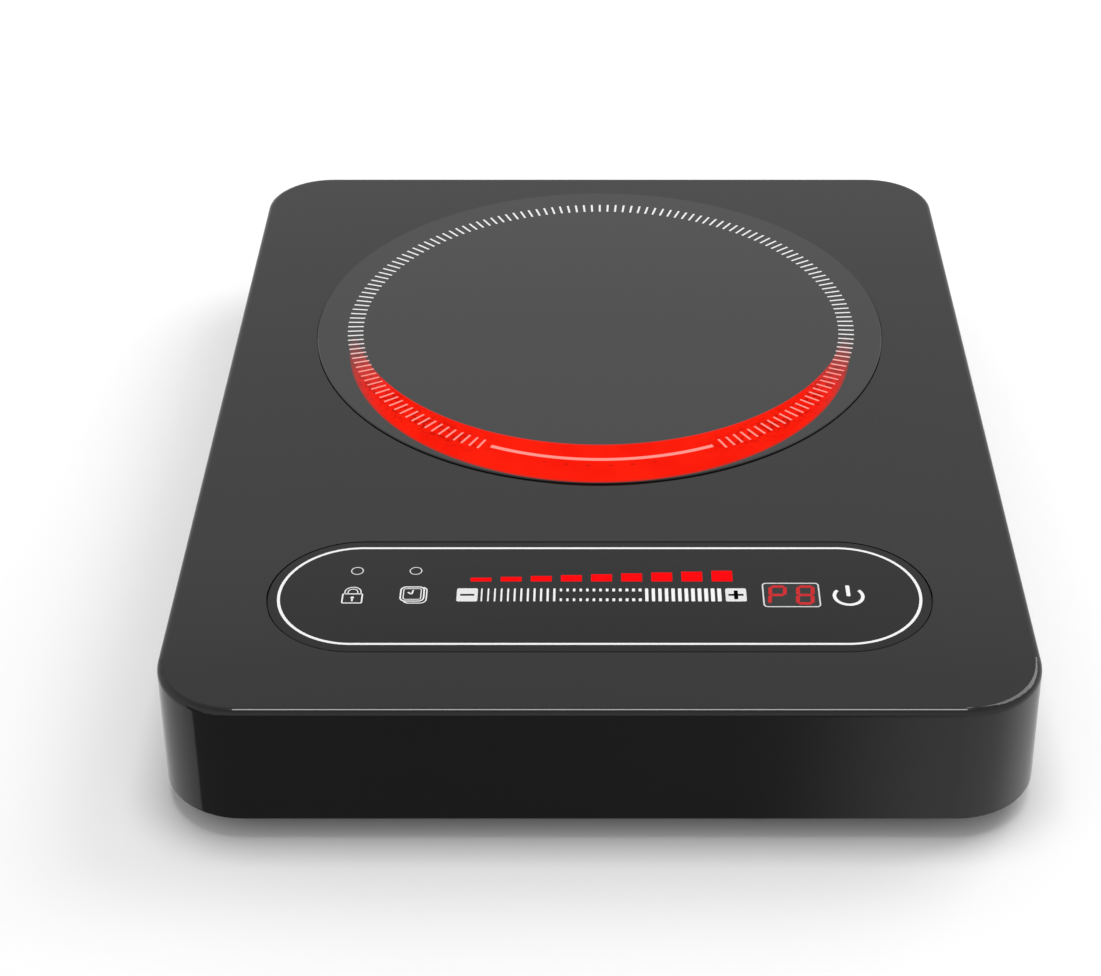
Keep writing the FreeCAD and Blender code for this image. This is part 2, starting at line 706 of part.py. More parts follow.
def film_capacitor(x0, x1, y0, y1, height):
    """Boxed film capacitor with small edge rounds."""
    block = on_board(x0, x1, y0, y1, height)
    return block.makeFillet(0.8, [e for e in block.Edges if e.BoundBox.ZMax > MAIN_TOP + 1])


def filter_choke():
    """Wound toroid standing flat on the board."""
    return Part.makeTorus(10.5, 5.2, V(106, -118, MAIN_TOP + 5.6))


def smoothing_capacitor():
    """Upright electrolytic can with a rolled top edge."""
    can = rod(6.3, MAIN_TOP, MAIN_TOP + 21, 117, -158)
    return can.makeFillet(0.8, [e for e in can.Edges if e.BoundBox.ZMin > MAIN_TOP + 1])


def standby_transformer():
    """Small transformer: bobbin between two core halves."""
    return join([on_board(84, 102, -168, -150, 14), on_board(87, 99, -171, -147, 11)])


def mains_fuse():
    """Tube fuse lying between two end caps."""
    z = MAIN_TOP + 4.0
    tube = Part.makeCylinder(2.6, 14, V(13, -166, z), V(1, 0, 0))
    caps = [Part.makeCylinder(3.1, 5, V(x, -166, z), V(1, 0, 0)) for x in (9, 26)]
    feet = [box(x + 1.5, x + 3.5, -167, -165, MAIN_TOP, z) for x in (9, 26)]
    return join([tube] + caps + feet)


def surge_varistor():
    """Round varistor standing on its edge."""
    disc = cross_rod(7.0, -168, -163.5, 46, MAIN_TOP + 8.5)
    return join([disc, box(42.5, 49.5, -166.5, -165, MAIN_TOP, MAIN_TOP + 4)])


def mains_terminal():
    """Two-way terminal block for the supply cord."""
    block = on_board(62, 80, -34, -22, 11)
    for x in (66.5, 75.5):
        block = block.cut(rod(2.0, MAIN_TOP + 5, MAIN_TOP + 12, x, -30))
        block = block.cut(cross_rod(1.8, -28, -21, x, MAIN_TOP + 3.2))
    return block


def coil_terminals():
    """Two screw posts for the coil leads."""
    return group(on_board(x - 4, x + 4, -31, -23, COIL_POST_HEIGHT) for x in (102, 112))


def fan_connector():
    """Small socket for the fan's lead."""
    return on_board(-12.5, -5, -104, -96, 5)


def ribbon_socket():
    """Socket for the ribbon cable."""
    half = RIBBON_WIDTH / 2 + 1
    return on_board(RIBBON_X - half, RIBBON_X + half, RIBBON_Y - 3, RIBBON_Y + 3, SOCKET_HEIGHT)


def board_screws():
    """Screws of the main board."""
    return group(screw(x, y, MAIN_TOP, 7.0) for x, y in BOARD_POSTS)


# ---- fan ----

def fan_frame():
    """Square frame with a round bore, four corner holes and three struts under the motor."""
    z1 = FAN_Z + FAN_THICK
    half = FAN_SIZE / 2
    frame = box(FAN_X - half, FAN_X + half, FAN_Y - half, FAN_Y + half, FAN_Z, z1)
    frame = frame.cut(rod(FAN_BORE, FAN_Z - 1, z1 + 1, FAN_X, FAN_Y))
    upright = [e for e in frame.Edges if e.Length > FAN_THICK - 0.1 and len(e.Vertexes) == 2
               and abs(e.Vertexes[0].X - e.Vertexes[1].X) < 1e-6 and abs(e.Vertexes[0].Y - e.Vertexes[1].Y) < 1e-6
               and abs(abs(e.Vertexes[0].X - FAN_X) - half) < 1e-6]
    frame = frame.makeFillet(3.0, upright)
    struts = [ring(15, 13.5, FAN_Z, FAN_Z + 3, FAN_X, FAN_Y), rod(14, FAN_Z, FAN_Z + 1.6, FAN_X, FAN_Y)]
    for i in range(3):
        strut = box(13, FAN_BORE + 0.6, -1.5, 1.5, FAN_Z, FAN_Z + 2.2)
        strut.rotate(V(0, 0, 0), UP, 90 + i * 120)
        strut.translate(V(FAN_X, FAN_Y, 0))
        struts.append(strut)
    frame = join([frame] + struts)
    for x, y in FAN_POSTS:
        frame = frame.cut(rod(SCREW_PASS, FAN_Z - 1, z1 + 1, x, y))
    return frame


def fan_stator():
    """Wound stator with four poles round a sleeve bearing."""
    z0 = FAN_Z + 1.6
    core = ring(3.4, 1.55, z0, z0 + 11, FAN_X, FAN_Y)
    poles = []
    for i in range(4):
        arm = box(3, 10.6, -1.8, 1.8, z0 + 2.5, z0 + 8)
        shoe = ring(11.4, 10.2, z0 + 2.5, z0 + 8).common(box(5, 12, -6, 6, z0, z0 + 12))
        pole = join([arm, shoe])
        pole.rotate(V(0, 0, 0), UP, i * 90)
        pole.translate(V(FAN_X, FAN_Y, 0))
        poles.append(pole)
    return join([core] + poles)


def fan_shaft():
    """Steel shaft pressed into the rotor."""
    return rod(1.5, FAN_Z + 2.2, FAN_Z + 16.2, FAN_X, FAN_Y)


def fan_rotor():
    """Hub cup with seven pitched blades."""
    z0 = FAN_Z + 4.2
    z1 = FAN_Z + 17.6
    cup = rod(15.5, z0, z1, FAN_X, FAN_Y).cut(rod(13.6, z0 - 1, z1 - 2.0, FAN_X, FAN_Y))
    boss = ring(3.4, 1.5, z1 - 4.0, z1 - 1.4, FAN_X, FAN_Y)
    blades = []
    for i in range(FAN_BLADES):
        blade = box(14.6, 36.6, -8.6, 8.6, -0.7, 0.7)
        blade.rotate(V(0, 0, 0), V(1, 0, 0), 33)
        blade.translate(V(0, 0, (z0 + z1) / 2))
        blade.rotate(V(0, 0, 0), UP, i * 360 / FAN_BLADES)
        blade.translate(V(FAN_X, FAN_Y, 0))
        blades.append(blade.common(ring(36.4, 14.6, z0 - 2, z1 + 2, FAN_X, FAN_Y)))
    rotor = join([cup, boss] + blades)
    return rotor.cut(rod(1.5, z0, FAN_Z + 16.2, FAN_X, FAN_Y))


def fan_screws():
    """Screws through the fan's corners."""
    return group(screw(x, y, FAN_Z + FAN_THICK, FAN_THICK + 2.5) for x, y in FAN_POSTS)


def fan_lead():
    """The fan's lead, from its frame to its socket."""
    side = FAN_X + FAN_SIZE / 2 + 0.2
    route = [(side, -112, 28), (side + 8, -111, 27), (-25, -106, 24), (-19, -101, 21.5), (-12.7, -100, 20.4)]
    return lead(route, 0.8)


def air_guide():
    """Hood over the fan that leads the air between the fins."""
    x0 = FAN_X - 45
    x1 = 4.0
    y0 = FAN_Y - 44
    y1 = FAN_Y + 44
    z1 = 39.6
    hood = box(x0, x1, y0, y1, FLOOR_Z, z1).cut(box(x0 + 1.6, x1 + 1, y0 + 1.6, y1 - 1.6, FLOOR_Z - 1, z1 - 1.6))
    board_gap = box(BOARD_X[0] - 1, x1 + 1, y0 - 1, y1 + 1, FLOOR_Z - 1, MAIN_TOP + 0.5)
    return hood.cut(board_gap)


NODES = {
    "upper_housing": upper_housing,
    "base_cover": base_cover,
    "housing_screws": housing_screws,
    "cord_bush": cord_bush,
    "glass_disc": glass_disc,
    "disc_seal": disc_seal,
    "control_glass": control_glass,
    "control_seal": control_seal,
    "light_guide": light_guide,
    "light_board": light_board,
    "ring_lights": ring_lights,
    "induction_coil": induction_coil,
    "coil_carrier": coil_carrier,
    "ferrite_bars": ferrite_bars,
    "mica_sheet": mica_sheet,
    "coil_screws": coil_screws,
    "coil_leads": coil_leads,
    "sensor_holder": sensor_holder,
    "thermistor": thermistor,
    "sensor_spring": sensor_spring,
    "control_bracket": control_bracket,
    "control_board": control_board,
    "touch_springs": touch_springs,
    "slider_electrode": slider_electrode,
    "level_bars": level_bars,
    "digit_display": digit_display,
    "indicator_lights": indicator_lights,
    "control_chip": control_chip,
    "sounder": sounder,
    "control_screws": control_screws,
    "ribbon_cable": ribbon_cable,
    "ribbon_socket": ribbon_socket,
    "main_board": main_board,
    "heat_sink": heat_sink,
    "power_transistor": power_transistor,
    "bridge_rectifier": bridge_rectifier,
    "device_screws": device_screws,
    "filter_capacitor": lambda: film_capacitor(86, 126, -96, -78, 20),
    "resonant_capacitor": lambda: film_capacitor(84, 122, -66, -44, 18),
    "smoothing_capacitor": smoothing_capacitor,
    "filter_choke": filter_choke,
    "standby_transformer": standby_transformer,
    "mains_fuse": mains_fuse,
    "surge_varistor": surge_varistor,
    "mains_terminal": mains_terminal,
    "coil_terminals": coil_terminals,
    "fan_connector": fan_connector,
    "board_screws": board_screws,
    "fan_frame": fan_frame,
    "fan_stator": fan_stator,
    "fan_shaft": fan_shaft,
    "fan_rotor": fan_rotor,
    "fan_screws": fan_screws,
    "fan_lead": fan_lead,
    "air_guide": air_guide,
}
for foot_name, (foot_x, foot_y) in FOOT_PLACES.items():
    NODES[foot_name] = lambda x=foot_x, y=foot_y: foot(x, y)

os.makedirs("parts", exist_ok=True)
for node, make in NODES.items():
    shape = make()
    if not shape.isValid():
        print("not valid:", node)
    shape.exportStep("parts/" + node + ".step")
    print(f"{node}: {len(shape.Solids)} solid(s), {shape.Volume / 1000:.2f} cm3")
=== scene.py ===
import json
import math
import bmesh
import bpy
import numpy as np
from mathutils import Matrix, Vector


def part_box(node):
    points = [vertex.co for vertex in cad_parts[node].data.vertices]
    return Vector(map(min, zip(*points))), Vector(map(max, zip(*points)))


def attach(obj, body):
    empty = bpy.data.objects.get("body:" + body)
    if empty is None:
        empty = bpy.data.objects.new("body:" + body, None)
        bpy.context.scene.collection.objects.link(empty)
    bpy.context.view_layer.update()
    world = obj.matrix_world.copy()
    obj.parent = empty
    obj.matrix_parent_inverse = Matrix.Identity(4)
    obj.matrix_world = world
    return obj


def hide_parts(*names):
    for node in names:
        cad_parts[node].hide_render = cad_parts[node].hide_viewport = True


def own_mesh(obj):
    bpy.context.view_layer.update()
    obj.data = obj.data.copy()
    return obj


# Looks of a portable induction cooktop: black moulded body, raised round cooking glass with a red-lit
# front rim, and a long round-ended control glass. Metres in Blender; the outlines below are in
# millimetres, with X = 0 on the cooktop's middle line.

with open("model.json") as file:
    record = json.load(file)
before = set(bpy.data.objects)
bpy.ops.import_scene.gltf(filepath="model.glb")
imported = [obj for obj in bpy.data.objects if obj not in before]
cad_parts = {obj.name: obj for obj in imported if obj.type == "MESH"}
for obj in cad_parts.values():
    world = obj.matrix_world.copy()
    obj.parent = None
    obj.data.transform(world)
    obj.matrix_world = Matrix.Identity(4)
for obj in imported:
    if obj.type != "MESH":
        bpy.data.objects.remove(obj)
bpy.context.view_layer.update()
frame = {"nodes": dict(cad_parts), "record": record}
MM = 0.001


def middle(node):
    """Centre of a CAD node's box, in millimetres."""
    low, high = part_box(node)
    return np.array((low + high) / 2) / MM


# ---- heights and print ----

DISC = middle("glass_disc")
PANEL = middle("control_glass")
DISC_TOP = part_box("glass_disc")[1].z / MM
PANEL_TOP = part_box("control_glass")[1].z / MM
PRINT = 0.03                # how far print stands above the glass
PRINT_THICK = 0.04
SIGN_LIFT = 0.02            # how far a sign stands above the key under it
DIGIT_LIFT = 0.01           # how far the digits stand above their frame's print
WINDOW_LIFT = 0.015         # how far the display window stands above the glass


# ---- marks on the cooking glass ----

SCALE_MIDDLE = DISC[:2] + [0.5, 0.3]  # the print sits a little off the disc's centre
SCALE_TURN = 0.25                     # degrees that the print is turned by
SCALE_IN, SCALE_OUT = 99.1, 105.55    # the dashes' inner and outer radius
SCALE_FIRST = 27.1                    # degrees from the front
SCALE_COUNT = 155
DASH_WIDTH = 0.85
ARC_RADIUS = 102.1
ARC_SPAN = 24.8
ARC_WIDTH = 1.8
GLOW_OUT, GLOW_FORWARD = 103.0, 14.4  # outer circle of the lit rim and its shift to the front
GLOW_IN, GLOW_BACK = 103.5, 12.0      # inner circle and its shift to the back
GLOW_SPAN = 86.0                      # degrees each side of the front
GLOW_LIFT, GLOW_THICK = 0.012, 0.02
FULL_LIGHT = 54.0                     # degrees from the front where the light starts to fall
FULL_OUTER_LIGHT = 46.0               # the same, outside the dashes
FULL_PRINT_LIGHT = 66.0               # the same, for the dashes' own colour
OUTER_BLEND = 4.0                     # how far outside the dashes the outer fall takes over
EDGE_HIGHLIGHT_WIDTH = 1.3                        # width of the painted highlight along the edge towards the front
# Dark streaks of painted shade in the light under the dashes: their radius and spread.
STREAK_RADIUS, STREAK_SPREAD = 102.5, 5.5
STREAK_START, STREAK_FADE = 20.0, 14.0  # degrees from the front, and over how many they grow
FLECK_PITCH = 4.6                     # degrees between the small dark flecks over the lamps
FLECK_RADIUS, FLECK_FORWARD = 86.0, 20.0
FLECK_LIFT, FLECK_THICK = 0.02, 0.015


# ---- marks on the control glass ----

KEY_ROW = PANEL[1]                    # the line that the keys sit on
SLIDER_ROW = KEY_ROW + 0.12
BORDER_LENGTH, BORDER_WIDTH, BORDER_ROUND = 226.7, 55.75, 27.8
BORDER_LINE = 1.05
LAMP_PLACES = (-86.75, -65.8)         # X of the indicator rings over the lock and the timer
LAMP_RISE = 14.3
LOCK_X, TIMER_X, POWER_X = -87.3, -66.25, 87.95
MINUS_X, PLUS_X = -46.8, 48.2
STROKE_COUNT, STROKE_FIRST, STROKE_PITCH = 37, -41.7, 2.335
DOTTED = range(12, 25)                # the strokes that are pairs of dots instead
BAR_COUNT, BAR_FIRST, BAR_PITCH = 9, -42.3, 10.75
BAR_WIDTH, BAR_LOW, BAR_HIGH = 7.45, 2.15, 6.3
BAR_FOOT = KEY_ROW + 8.05
DIGIT_SPACE = 4.9                     # from the display's middle to each sign's


# ---- mesh helpers ----

def grid_faces(rows, columns, wrap_rows=False, wrap_columns=False):
    """Quads of a grid of rows by columns points, closed round on either parameter."""
    r = np.arange(rows if wrap_rows else rows - 1)
    c = np.arange(columns if wrap_columns else columns - 1)
    r, c = np.meshgrid(r, c, indexing="ij")
    r2, c2 = (r + 1) % rows, (c + 1) % columns
    quads = np.stack([r * columns + c, r2 * columns + c, r2 * columns + c2, r * columns + c2], axis=-1)
    return quads.reshape(-1, 4)


def piece(name, points, faces, finish, smooth=True, thick=None):
    """A mesh object from points in millimetres; thick (mm) gives a sheet its thickness downwards."""
    mesh = bpy.data.meshes.new(name)
    mesh.from_pydata((points * MM).tolist(), [], faces.tolist())
    mesh.validate()
    mesh.polygons.foreach_set("use_smooth", np.full(len(mesh.polygons), smooth))
    obj = bpy.data.objects.new(name, mesh)
    bpy.context.scene.collection.objects.link(obj)
    mesh.materials.append(finish)
    if thick:
        wall = obj.modifiers.new("wall", "SOLIDIFY")
        wall.thickness = thick * MM
        wall.offset = -1
    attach(obj, "body")
    return obj


def gather(grids, wrap_rows=False, wrap_columns=False):
    """Several grids of one shape each, as one list of points and faces."""
    points, faces, count = [], [], 0
    for grid in grids:
        rows, columns = grid.shape[:2]
        points.append(grid.reshape(-1, 3))
        faces.append(grid_faces(rows, columns, wrap_rows, wrap_columns) + count)
        count += rows * columns
    return np.concatenate(points), np.concatenate(faces)


def at_height(xy, z):
    """Flat points lifted to a height."""
    return np.concatenate([xy, np.full(xy.shape[:-1] + (1,), z)], axis=-1)


def band(path, width, closed=False):
    """A flat band: each point of the path is moved half the width to its left and to its right."""
    if closed:
        ahead = np.roll(path, -1, axis=0) - np.roll(path, 1, axis=0)
    else:
        ahead = np.gradient(path, axis=0)
    ahead /= np.linalg.norm(ahead, axis=1, keepdims=True)
    left = np.stack([-ahead[:, 1], ahead[:, 0]], axis=1)
    return np.stack([path - left * (width / 2), path + left * (width / 2)], axis=1)


def arc(cx, cy, radius, start, end, count):
    """Points on a circle between two angles in degrees, anticlockwise from +X."""
    t = np.radians(np.linspace(start, end, count))
    return np.stack([cx + radius * np.cos(t), cy + radius * np.sin(t)], axis=1)


def round_rect(cx, cy, width, height, radius, steps=8):
    """Closed path of a rectangle with round corners, anticlockwise: four quarter circles in a row."""
    a, b = width / 2 - radius, height / 2 - radius
    return np.concatenate([arc(cx + sx * a, cy + sy * b, radius, first, first + 90, steps)
                           for sx, sy, first in ((1, 1, 0), (-1, 1, 90), (-1, -1, 180), (1, -1, 270))])


def round_patch(cx, cy, width, height, radius, steps=6):
    """Filled round-cornered rectangle: at each x the patch reaches as high as its rounded corner allows."""
    a, b = width / 2, height / 2
    t = np.linspace(0, np.pi / 2, steps)
    x = np.concatenate([-a + radius * (1 - np.cos(t)), a - radius * (1 - np.cos(t[::-1]))])
    past = np.clip(np.abs(x) - (a - radius), 0, radius)
    reach = b - radius + np.sqrt(np.maximum(radius ** 2 - past ** 2, 0))
    side = np.array([-1.0, 1.0])
    return np.stack([np.repeat(x[:, None], 2, axis=1) + cx, reach[:, None] * side + cy], axis=-1)


def face_up(xy):
    """Swaps the two sides of a flat grid where its faces would look down."""
    a, b = xy[1, 0] - xy[0, 0], xy[0, 1] - xy[0, 0]
    return xy if a[0] * b[1] - a[1] * b[0] > 0 else xy[:, ::-1]


def print_piece(name, flats, finish, z=PANEL_TOP + PRINT, closed=False, thick=PRINT_THICK,
                smooth=False):
    """Flat printed shapes, all in one piece, lying on the glass at one height."""
    points, faces = gather([at_height(face_up(f), z) for f in flats], wrap_rows=closed)
    return piece(name, points, faces, finish, smooth=smooth, thick=thick)


# ---- material helpers ----

def add_node(tree, kind, **settings):
    """A new node with its settings."""
    made = tree.nodes.new(kind)
    for key, value in settings.items():
        setattr(made, key, value)
    return made


def add_ramp(tree, value, stops, interpolation="LINEAR"):
    """A colour ramp on a value; each stop is a place and a colour."""
    made = add_node(tree, "ShaderNodeValToRGB")
    made.color_ramp.interpolation = interpolation
    line = made.color_ramp.elements
    while len(line) < len(stops):
        line.new(0.5)
    for element, (place, colour) in zip(line, stops):
        element.position = place
        element.color = (*colour, 1)
    tree.links.new(value, made.inputs["Fac"])
    return made.outputs["Color"]


class Finish:
    """A material with its main shader, and short ways to add patterns in the object's own coordinates."""

    def __init__(self, name, colour, roughness, **sockets):
        self.material = bpy.data.materials.new(name)
        self.material.use_nodes = True
        self.tree = self.material.node_tree
        self.shader = self.tree.nodes["Principled BSDF"]
        self.shader.inputs["Base Color"].default_value = (*colour, 1)
        self.shader.inputs["Roughness"].default_value = roughness
        for key, value in sockets.items():
            self.shader.inputs[key.replace("_", " ")].default_value = value

    def node(self, kind, **settings):
        """A new node in this material."""
        return add_node(self.tree, kind, **settings)

    def join(self, source, target):
        self.tree.links.new(source, target)

    def noise(self, scale, detail=3.0):
        """Smooth noise in the object's own coordinates; a larger scale is a finer grain."""
        made = self.node("ShaderNodeTexNoise")
        made.inputs["Scale"].default_value = scale
        made.inputs["Detail"].default_value = detail
        self.join(self.node("ShaderNodeTexCoord").outputs["Object"], made.inputs["Vector"])
        return made.outputs["Fac"]

    def ramp(self, value, stops):
        return add_ramp(self.tree, value, stops)

    def grey(self, value, low, high, start=0.3, end=0.7):
        """A value spread from low to high between two places."""
        return self.ramp(value, [(start, (low,) * 3), (end, (high,) * 3)])

    def bump(self, height, strength, depth):
        """Fine relief on the surface."""
        made = self.node("ShaderNodeBump")
        made.inputs["Strength"].default_value = strength
        made.inputs["Distance"].default_value = depth
        self.join(height, made.inputs["Height"])
        self.join(made.outputs["Normal"], self.shader.inputs["Normal"])

    def to(self, value, socket):
        """Joins a value to one of the main shader's sockets."""
        self.join(value, self.shader.inputs[socket])

    def tones(self, grain, dark, light, detail=2.0, start=0.3, end=0.7, socket="Base Color"):
        """Two close colours mixed by noise of the given grain."""
        self.to(self.ramp(self.noise(grain, detail), [(start, dark), (end, light)]), socket)


PRINT_GRAIN = 1400.0        # noise scale of all fired print


def polished_black():
    """Polished black moulding: near-mirror with faint orange peel and handling haze."""
    f = Finish("polished_black_moulding", (0.007, 0.007, 0.007), 0.07, IOR=1.5)
    f.tones(3.0, (0.0060, 0.0060, 0.0061), (0.0082, 0.0081, 0.0080), detail=4.0)
    f.to(f.grey(f.noise(16.0, 5.0), 0.055, 0.085), "Roughness")
    f.bump(f.noise(420.0, 2.0), 0.03, 0.00004)
    return f.material


def black_glass(name, tone, index):
    """Polished black glass: sharp reflections, the barest waviness and dust."""
    f = Finish(name, (tone,) * 3, 0.015, IOR=index)
    f.tones(900.0, (tone,) * 3, (tone + 0.004,) * 3, start=0.70, end=0.82)
    f.to(f.grey(f.noise(9.0, 3.0), 0.012, 0.03), "Roughness")
    f.bump(f.noise(12.0, 1.0), 0.02, 0.00005)
    return f.material


def spark_plastic():
    """Spark-textured black plastic of the base and the fan."""
    f = Finish("spark_textured_plastic", (0.018, 0.018, 0.019), 0.55, IOR=1.49)
    f.tones(900.0, (0.013, 0.013, 0.014), (0.026, 0.026, 0.027))
    f.to(f.grey(f.noise(60.0, 3.0), 0.48, 0.66), "Roughness")
    f.bump(f.noise(1500.0, 2.0), 0.35, 0.00008)
    return f.material


def foot_rubber():
    """Matt rubber with a dusty bloom."""
    f = Finish("matt_foot_rubber", (0.016, 0.016, 0.016), 0.8, IOR=1.5)
    f.tones(140.0, (0.012, 0.012, 0.012), (0.034, 0.033, 0.032), detail=5.0, start=0.35, end=0.75)
    f.to(f.grey(f.noise(300.0, 3.0), 0.7, 0.92), "Roughness")
    f.bump(f.noise(1200.0, 3.0), 0.3, 0.00006)
    return f.material


def white_print_with_painted_glow(name, tone):
    """Fired white print seen in the glass, with a faint white emission that is painted glow."""
    # The faint white emission is painted light that lifts the print.
    f = Finish(name, (tone,) * 3, 0.25, IOR=1.45, Coat_Weight=0.6, Coat_Roughness=0.02,
               Emission_Color=(1.0, 0.98, 0.97, 1), Emission_Strength=0.06)
    f.tones(PRINT_GRAIN, (tone - 0.04,) * 3, (tone + 0.04,) * 3)
    return f.material


def grey_print():
    """Thinner print of the display frame and the indicator rings."""
    f = Finish("thin_grey_print", (0.64, 0.63, 0.63), 0.3, IOR=1.45)
    f.tones(PRINT_GRAIN, (0.59, 0.58, 0.58), (0.69, 0.68, 0.68))
    return f.material


def key_black():
    """Black signs knocked out of the white keys."""
    f = Finish("knocked_out_black", (0.002, 0.002, 0.002), 0.05, IOR=1.45, Specular_IOR_Level=0.0)
    f.tones(PRINT_GRAIN, (0.0015, 0.0015, 0.0015), (0.003, 0.003, 0.003))
    return f.material


def red_window(name="red_light_window", colour=(1.0, 0.004, 0.006)):
    """Lit red window, a little uneven as its light spreads."""
    f = Finish(name, (0.05, 0.0005, 0.0005), 0.3, Specular_IOR_Level=0.0, Emission_Strength=1.0)
    dim = tuple(0.86 * c for c in colour)
    f.tones(500.0, dim, colour, socket="Emission Color")
    return f.material


def scale_print_with_painted_glow():
    """White dashes that take the red of the lit rim where they lie over it, by the attribute lit; where
    unlit they give off a faint grey painted glow.
    """
    f = Finish("scale_print_with_painted_glow", (0.64, 0.64, 0.64), 0.25, IOR=1.45, Emission_Strength=1.0)
    lit = f.node("ShaderNodeAttribute", attribute_name="lit").outputs["Fac"]
    f.to(f.ramp(lit, [(0.0, (0.66, 0.66, 0.66)), (1.0, (0.12, 0.10, 0.09))]), "Base Color")
    # The grey emission where unlit is a faint painted glow; the red where lit is the rim's light through the
    # print.
    f.to(f.ramp(lit, [(0.0, (0.08, 0.08, 0.08)), (1.0, (0.90, 0.165, 0.13))]), "Emission Color")
    return f.material


def rim_light():
    """Red light under the glass, by three attributes of its piece.

    glow is the light's share, over a grey emission that paints the reflection the glass shows by itself. rim
    is a painted highlight along the edge towards the front, and the third the share of painted shade in dark
    streaks under the dashes.
    """
    f = Finish("red_rim_light", (0.008, 0.001, 0.0005), 0.05, Specular_IOR_Level=0.0, Emission_Strength=1.0)

    def value(name):
        return f.node("ShaderNodeAttribute", attribute_name=name).outputs["Fac"]

    def blend(amount, first, second):
        mix = f.node("ShaderNodeMix", data_type="RGBA")
        f.join(amount, mix.inputs["Factor"])
        for source, socket in ((first, mix.inputs["A"]), (second, mix.inputs["B"])):
            if isinstance(source, tuple):
                socket.default_value = (*source, 1)
            else:
                f.join(source, socket)
        return mix.outputs["Result"]

    def product(first, second):
        made = f.node("ShaderNodeMath", operation="MULTIPLY")
        f.join(first, made.inputs[0])
        f.join(second, made.inputs[1])
        return made.outputs["Value"]

    cloud = f.ramp(f.noise(60.0, 3.0), [(0.35, (0.94, 0.0095, 0.0028)), (0.6, (1.0, 0.0128, 0.0036))])
    streaks = f.grey(f.noise(620.0, 2.0), 0.0, 1.0, 0.50, 0.60)
    # Painted shade: darker red streaks where the dashes lie over the light.
    shaded = blend(product(value("shade_streak"), streaks), cloud, (0.52, 0.006, 0.002))
    # Painted highlight: a pinker line along the edge towards the front.
    highlighted = blend(value("rim"), shaded, (0.50, 0.030, 0.020))
    # Where glow is none, the piece gives off a grey that paints the glass's own reflection over it.
    f.to(blend(value("glow"), (0.088, 0.088, 0.088), highlighted), "Emission Color")
    return f.material


def smoky_window():
    """Smoked window over the digits."""
    f = Finish("smoked_display_window", (0.010, 0.012, 0.012), 0.04, IOR=1.45)
    f.tones(260.0, (0.008, 0.010, 0.010), (0.013, 0.015, 0.015))
    return f.material


def plain(name, dark, light, roughness, grain, bump=0.0, **sockets):
    """A working finish: two close tones mixed by grain, with a little relief."""
    f = Finish(name, light, roughness, **sockets)
    f.tones(grain, dark, light, detail=4.0)
    f.to(f.grey(f.noise(grain * 0.4, 3.0), roughness * 0.85, min(1.0, roughness * 1.15)), "Roughness")
    if bump:
        f.bump(f.noise(grain * 2, 2.0), bump, 0.00005)
    return f.material


# ---- CAD nodes' finishes, by the record's material slots ----

FINISHES = {
    "housing_black": polished_black(),
    "disc_glass": black_glass("smoky_cooking_glass", 0.012, 1.62),
    "black_glass": black_glass("black_control_glass", 0.0015, 1.45),
    "base_plastic": spark_plastic(),
    "rubber_black": foot_rubber(),
    "seal_silicone": plain("black_silicone", (0.010, 0.010, 0.010), (0.018, 0.018, 0.018), 0.6, 300, 0.1),
    "clear_acrylic": plain("frosted_light_guide", (0.5, 0.02, 0.01), (0.75, 0.05, 0.03), 0.4, 200, 0.1),
    "red_light": red_window(),
    "board_laminate": plain("green_board_laminate", (0.010, 0.075, 0.030), (0.022, 0.125, 0.052), 0.35, 220,
                            0.1),
    "coil_copper": plain("enamelled_copper", (0.34, 0.11, 0.045), (0.62, 0.25, 0.11), 0.32, 700, 0.3,
                         Metallic=1.0),
    "carrier_plastic": plain("natural_moulding", (0.50, 0.49, 0.46), (0.62, 0.61, 0.58), 0.5, 160, 0.15),
    "ferrite": plain("sintered_ferrite", (0.03, 0.03, 0.034), (0.06, 0.06, 0.065), 0.55, 500, 0.3),
    "mica": plain("mica_sheet_face", (0.36, 0.30, 0.21), (0.56, 0.49, 0.37), 0.3, 90, 0.3),
    "screw_steel": plain("zinc_plated_steel", (0.42, 0.42, 0.43), (0.62, 0.62, 0.63), 0.3, 400, 0.1,
                         Metallic=1.0),
    "sensor_metal": plain("aluminium_cap", (0.60, 0.60, 0.62), (0.75, 0.75, 0.77), 0.3, 300, 0.1,
                          Metallic=1.0),
    "lead_sleeve": plain("woven_lead_sleeve", (0.55, 0.54, 0.49), (0.78, 0.77, 0.72), 0.7, 1100, 0.5),
    "heat_sink_aluminium": plain("extruded_aluminium", (0.52, 0.52, 0.54), (0.66, 0.66, 0.68), 0.38, 120,
                                 0.2, Metallic=1.0),
    "component_black": plain("component_moulding", (0.014, 0.014, 0.015), (0.026, 0.026, 0.028), 0.5, 500,
                             0.2),
    "capacitor_film": plain("blue_capacitor_case", (0.04, 0.11, 0.30), (0.07, 0.16, 0.38), 0.3, 200, 0.1),
    "choke_wire": plain("choke_copper_wire", (0.38, 0.13, 0.05), (0.60, 0.24, 0.10), 0.3, 500, 0.3,
                        Metallic=1.0),
    "fuse_ceramic": plain("fuse_ceramic_body", (0.62, 0.61, 0.57), (0.78, 0.77, 0.73), 0.35, 200, 0.1),
    "terminal_plastic": plain("white_terminal_plastic", (0.66, 0.66, 0.63), (0.80, 0.80, 0.77), 0.45, 200,
                              0.1),
}

for part in frame["record"]["subparts"]:
    mesh = frame["nodes"][part["node"]].data
    mesh.materials.clear()
    mesh.materials.append(FINISHES[part["material_slot"]])

WHITE = white_print_with_painted_glow("fired_white_print", 0.72)
GREY = grey_print()


# ---- cooking glass: scale, arc line and lit rim ----

